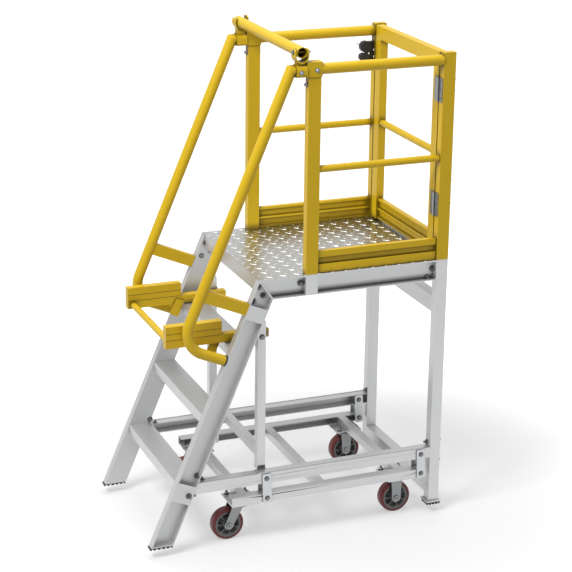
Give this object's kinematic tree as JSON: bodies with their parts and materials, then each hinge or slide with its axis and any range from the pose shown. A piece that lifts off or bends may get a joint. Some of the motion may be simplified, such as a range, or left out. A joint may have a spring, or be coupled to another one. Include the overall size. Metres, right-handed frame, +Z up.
{
  "type": "mobile work platform",
  "caption": "Wheeled access platform with a ladder, a guarded deck with a rear gate, and a lever-operated caster frame that raises and lowers it.",
  "frame": {"origin": "centre of the footprint, on the floor under the wheels", "axes": "+X from the ladder foot towards the rear gate, +Y to the left of a person climbing the ladder, +Z up"},
  "size_m": [1.441, 0.79, 2.2822],
  "materials": {
    "aluminium": "polished extrusion",
    "yellow_paint": "gloss paint",
    "foot_rubber": "matte",
    "hinge_steel": "plated",
    "link_steel": "plated",
    "fork_steel": "plated",
    "latch_black": "satin black",
    "wheel_grey": "satin grey",
    "tyre_red": "red polyurethane"
  },
  "bodies": {
    "frame": {"stile_right": "aluminium", "stile_left": "aluminium", "ladder_foot_right": "foot_rubber", "ladder_foot_left": "foot_rubber", "tread_1": "aluminium", "tread_2": "aluminium", "tread_3": "aluminium", "deck_frame": "aluminium", "deck_plate": "aluminium", "rear_frame": "aluminium", "rear_foot_right": "foot_rubber", "rear_foot_left": "foot_rubber", "side_rail_right": "aluminium", "side_rail_left": "aluminium", "front_post_frame": "aluminium", "guard_rail_right": "yellow_paint", "guard_rail_left": "yellow_paint", "toe_board_right": "yellow_paint", "toe_board_left": "yellow_paint", "handrail_right": "yellow_paint", "handrail_left": "yellow_paint", "bar_saddle_right": "yellow_paint", "bar_saddle_left": "yellow_paint", "hinge_post_leaf_upper": "hinge_steel", "hinge_post_leaf_lower": "hinge_steel", "gate_latch": "latch_black"},
    "gate": {"gate_frame": "yellow_paint", "gate_toe_board": "yellow_paint", "hinge_gate_leaf_upper": "hinge_steel", "hinge_gate_leaf_lower": "hinge_steel"},
    "entry_bar": {"entry_bar": "yellow_paint"},
    "lever": {"lever_arm_right": "yellow_paint", "lever_arm_left": "yellow_paint", "lever_rod": "yellow_paint"},
    "front_links": {"front_link_right": "link_steel", "front_link_left": "link_steel"},
    "rear_links": {"rear_link_right": "link_steel", "rear_link_left": "link_steel"},
    "caster_frame": {"caster_frame": "aluminium", "fork_rear_right": "fork_steel", "fork_rear_left": "fork_steel"},
    "front_right_swivel": {"fork_front_right": "fork_steel"},
    "front_left_swivel": {"fork_front_left": "fork_steel"},
    "wheel_front_right": {"wheel_core_front_right": "wheel_grey", "wheel_tyre_front_right": "tyre_red"},
    "wheel_front_left": {"wheel_core_front_left": "wheel_grey", "wheel_tyre_front_left": "tyre_red"},
    "wheel_rear_right": {"wheel_core_rear_right": "wheel_grey", "wheel_tyre_rear_right": "tyre_red"},
    "wheel_rear_left": {"wheel_core_rear_left": "wheel_grey", "wheel_tyre_rear_left": "tyre_red"}
  },
  "joints": [
    {"name": "lift", "type": "hinge", "parent": "frame", "child": "rear_links", "pos_m": [0.6075, 0, 0.3094], "axis": [0, 1, 0], "range_deg": [0, 60]},
    {"name": "front_lift", "type": "hinge", "parent": "frame", "child": "front_links", "pos_m": [-0.1665, 0, 0.3094], "axis": [0, 1, 0], "range_deg": [0, 60]},
    {"name": "caster_level", "type": "hinge", "parent": "rear_links", "child": "caster_frame", "pos_m": [0.61089, 0, 0.21246], "axis": [0, 1, 0], "range_deg": [-60, 0]},
    {"name": "lever_lift", "type": "hinge", "parent": "frame", "child": "lever", "pos_m": [-0.1775, 0, 0.9794], "axis": [0, 1, 0], "range_deg": [0, 48]},
    {"name": "entry_bar_hinge", "type": "hinge", "parent": "frame", "child": "entry_bar", "pos_m": [-0.0225, -0.364, 2.2522], "axis": [1, 0, 0], "range_deg": [0, 90]},
    {"name": "gate_hinge", "type": "hinge", "parent": "frame", "child": "gate", "pos_m": [0.6435, -0.3405, 1.74], "axis": [0, 0, 1], "range_deg": [0, 85]},
    {"name": "front_right_caster", "type": "hinge", "parent": "caster_frame", "child": "front_right_swivel", "pos_m": [-0.2645, -0.2966, 0.2], "axis": [0, 0, 1], "continuous": true},
    {"name": "front_left_caster", "type": "hinge", "parent": "caster_frame", "child": "front_left_swivel", "pos_m": [-0.2645, 0.2966, 0.2], "axis": [0, 0, 1], "continuous": true},
    {"name": "wheel_front_right_spin", "type": "hinge", "parent": "front_right_swivel", "child": "wheel_front_right", "pos_m": [-0.3275, -0.2966, 0.0762], "axis": [0, 1, 0], "continuous": true},
    {"name": "wheel_front_left_spin", "type": "hinge", "parent": "front_left_swivel", "child": "wheel_front_left", "pos_m": [-0.3275, 0.2966, 0.0762], "axis": [0, 1, 0], "continuous": true},
    {"name": "wheel_rear_right_spin", "type": "hinge", "parent": "caster_frame", "child": "wheel_rear_right", "pos_m": [0.5145, -0.2966, 0.0762], "axis": [0, 1, 0], "continuous": true},
    {"name": "wheel_rear_left_spin", "type": "hinge", "parent": "caster_frame", "child": "wheel_rear_left", "pos_m": [0.5145, 0.2966, 0.0762], "axis": [0, 1, 0], "continuous": true}
  ],
  "couplings": [
    {"joint": "caster_level", "follows": "lift", "ratio": -1},
    {"joint": "front_lift", "follows": "lift", "ratio": 1},
    {"joint": "lever_lift", "follows": "lift", "ratio": 0.8}
  ]
}
